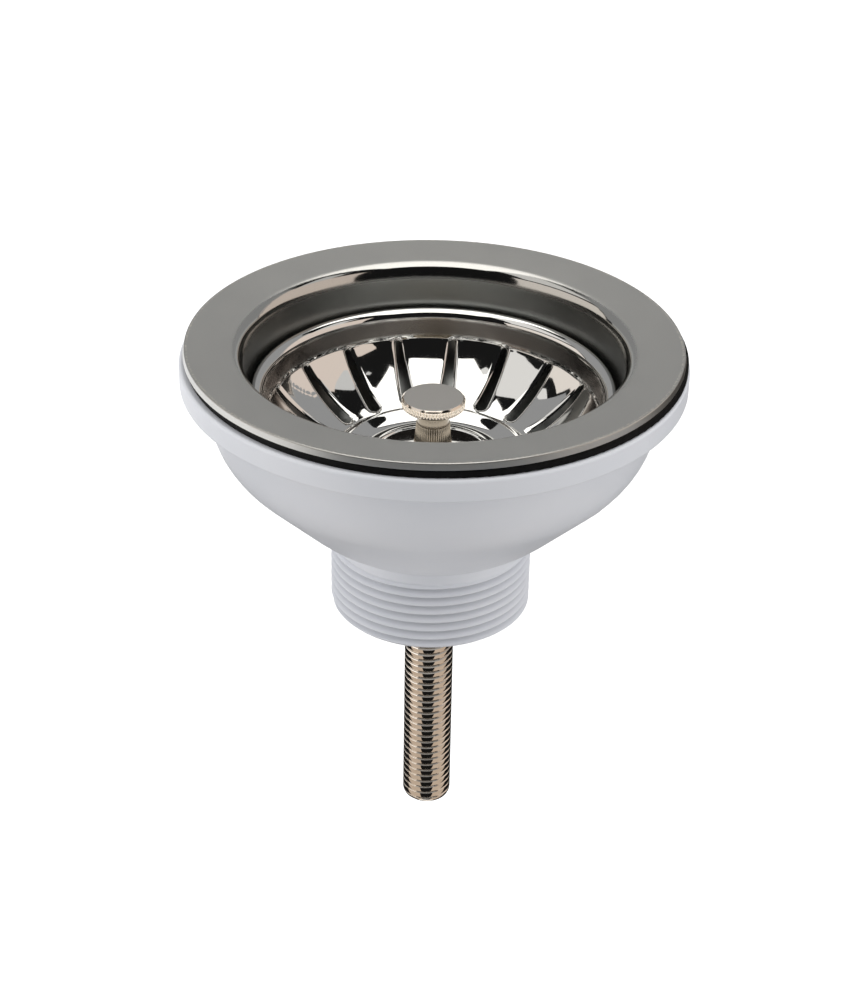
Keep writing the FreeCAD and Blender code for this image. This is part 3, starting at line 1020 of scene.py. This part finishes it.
def seen_rays(tree):
    """1 for rays from the camera and for those that metal and glass send on."""
    rays = tree.nodes.new("ShaderNodeLightPath")
    total = rays.outputs["Is Camera Ray"]
    for name in ("Is Glossy Ray", "Is Transmission Ray"):
        add = tree.nodes.new("ShaderNodeMath")
        add.operation = "MAXIMUM"
        tree.links.new(total, add.inputs[0])
        tree.links.new(rays.outputs[name], add.inputs[1])
        total = add.outputs[0]
    return total


def mixed_shader(tree, share, a, b):
    made = tree.nodes.new("ShaderNodeMixShader")
    tree.links.new(share, made.inputs[0])
    tree.links.new(a, made.inputs[1])
    tree.links.new(b, made.inputs[2])
    return made.outputs[0]


def floor():
    """White floor that keeps the object's shadow and isn't seen from below."""
    bpy.ops.mesh.primitive_plane_add(size=8.0, location=(0, 0, floor_height))
    piece = bpy.context.object
    piece.name = "floor"
    material = bpy.data.materials.new("floor")
    material.use_nodes = True
    tree = material.node_tree
    tree.nodes.clear()
    matte = tree.nodes.new("ShaderNodeBsdfDiffuse")
    matte.inputs["Color"].default_value = (*floor_tone, 1.0)
    lift = tree.nodes.new("ShaderNodeAddShader")
    tree.links.new(matte.outputs[0], lift.inputs[0])
    tree.links.new(emitter(tree, (1, 1, 1), floor_lift), lift.inputs[1])
    lit = mixed_shader(tree, seen_rays(tree), matte.outputs[0], lift.outputs[0])
    clear = tree.nodes.new("ShaderNodeBsdfTransparent")
    behind = tree.nodes.new("ShaderNodeNewGeometry").outputs["Backfacing"]
    output = tree.nodes.new("ShaderNodeOutputMaterial")
    tree.links.new(mixed_shader(tree, behind, lit, clear.outputs[0]), output.inputs["Surface"])
    piece.data.materials.append(material)


def world():
    made = bpy.data.worlds.new("studio")
    bpy.context.scene.world = made
    made.use_nodes = True
    tree = made.node_tree
    tree.nodes.clear()
    skies = []
    for strength in (ambient, 1.0):
        sky = tree.nodes.new("ShaderNodeBackground")
        sky.inputs["Color"].default_value = (1, 1, 1, 1)
        sky.inputs["Strength"].default_value = strength
        skies.append(sky.outputs[0])
    output = tree.nodes.new("ShaderNodeOutputWorld")
    tree.links.new(mixed_shader(tree, seen_rays(tree), *skies), output.inputs["Surface"])


def card(name, rows, colour):
    """Sheet through rows of points that gives its colour as light and that only reflections see."""
    piece = sewn(name, [rows])
    material = bpy.data.materials.new(name)
    material.use_nodes = True
    tree = material.node_tree
    tree.nodes.clear()
    output = tree.nodes.new("ShaderNodeOutputMaterial")
    tree.links.new(emitter(tree, colour, 1.0), output.inputs["Surface"])
    piece.data.materials.append(material)
    piece.visible_camera = False
    piece.visible_diffuse = False
    piece.visible_shadow = False
    piece.visible_transmission = False


def spread(low, high, steps):
    return [low + (high - low) * k / steps for k in range(steps + 1)]


def at_bearing(bearing, flat, height):
    """Place in metres. Bearing 0 is on the camera's side and 90 on its right."""
    angle = math.radians(bearing)
    return (flat * math.sin(angle), -flat * math.cos(angle), height)


def dome_card(name, bearings, elevations, colour, distance=wall_distance):
    """Patch of a dome round the object."""
    card(name, [[
        at_bearing(bearing, distance * math.cos(rise), distance * math.sin(rise))
        for bearing in spread(*bearings, 40)
    ] for rise in (math.radians(e) for e in spread(*elevations, 20))], colour)


def floor_card(name, bearings, radii, colour):
    """Sector of the floor that metal sees in this colour."""
    height = floor_height + 0.001
    card(name, [[at_bearing(b, flat, height) for b in spread(*bearings, 40)] for flat in radii], colour)


def lamp(name, place, size, radiance):
    """Square soft lamp. Radiance is how bright its face looks, where 1 is white."""
    data = bpy.data.lights.new(name, "AREA")
    data.shape = "SQUARE"
    data.size = size
    data.energy = radiance * math.pi * size * size
    piece = bpy.data.objects.new(name, data)
    bpy.context.scene.collection.objects.link(piece)
    piece.location = place
    piece.rotation_euler = (Vector(place) - lamp_aim).to_track_quat("Z", "Y").to_euler()
    piece.visible_camera = False
    piece.visible_glossy = False


def ceiling_card(name, side, ahead, behind, colour):
    """Level sheet over the object, from in front of it to behind it."""
    across = spread(-side, side, 4)
    card(name, [[(x, y, ceiling_height) for x in across] for y in spread(-ahead, behind, 4)], colour)


floor()
world()
dark = (0.01, 0.01, 0.01)
grey = (0.33, 0.33, 0.33)
low_grey = (0.45, 0.45, 0.44)
soft_front = (0.40, 0.41, 0.42)
pale = (0.85, 0.83, 0.80)
white = (1.75, 1.71, 1.63)
table = (0.60, 0.51, 0.43)
dome_card("dark_room", (0.0, 360.0), (-6.5, 90.0), dark, room_distance)
dome_card("back_wall", (120.0, 240.0), (9.0, 48.0), grey)
dome_card("back_low", (125.0, 235.0), (-6.0, 9.0), low_grey)
dome_card("right_low", (50.0, 124.0), (-6.0, 46.0), (0.78, 0.67, 0.59))
dome_card("left_low", (-118.0, -50.0), (-6.0, 32.0), (0.88, 0.81, 0.74))
dome_card("left_window", (-120.0, -60.0), (38.0, 76.0), pale)
dome_card("right_window", (78.0, 112.0), (38.0, 60.0), (0.65, 0.64, 0.62))
ceiling_card("softbox", 0.5, 0.57, 0.95, white)
floor_card("front_floor", (-28.0, 28.0), near_floor, dark)
floor_card("right_floor", (28.0, 90.0), near_floor, table)
floor_card("left_floor", (-90.0, -28.0), near_floor, table)
floor_card("back_floor", (90.0, 270.0), near_floor, dark)
floor_card("front_room", (-50.0, 100.0), far_floor, soft_front)
floor_card("right_room", (100.0, 150.0), far_floor, dark)
lamp("overhead", (0.0, 0.0, 1.19), 0.8, 1.3)
lamp("left", (-1.3, -0.1, 0.2), 0.9, 1.75)
lamp("right", (1.3, -0.1, 0.2), 0.9, 1.6)

# Camera, fitted to the photo from the flange's and the outlet's ellipses, in millimetres and degrees
camera_elevation = 26.309
camera_distance = 529.6
camera_pitch = 3.926
camera_yaw = -0.248
camera_roll = 0.961
camera_focal_pixels = 2318.0
photo_long_side = 1000.0


def camera():
    data = bpy.data.cameras.new("camera")
    data.sensor_width = 36.0
    data.lens = camera_focal_pixels * data.sensor_width / photo_long_side
    data.clip_start = 0.01
    piece = bpy.data.objects.new("camera", data)
    bpy.context.scene.collection.objects.link(piece)
    rise = math.radians(camera_elevation)
    place = Vector((0.0, -math.cos(rise), math.sin(rise))) * camera_distance
    place.z += flange_height
    down = math.radians(camera_elevation + camera_pitch)
    yaw = math.radians(camera_yaw)
    ahead = Vector((math.sin(yaw) * math.cos(down), math.cos(yaw) * math.cos(down), -math.sin(down)))
    right = Vector((math.cos(yaw), -math.sin(yaw), 0.0))
    right = Matrix.Rotation(math.radians(-camera_roll), 3, ahead) @ right
    up = right.cross(ahead)
    piece.matrix_world = Matrix((
        (right.x, up.x, -ahead.x, place.x * mm),
        (right.y, up.y, -ahead.y, place.y * mm),
        (right.z, up.z, -ahead.z, place.z * mm),
        (0, 0, 0, 1),
    ))
    bpy.context.scene.camera = piece


camera()
bpy.context.scene.view_settings.view_transform = "Standard"
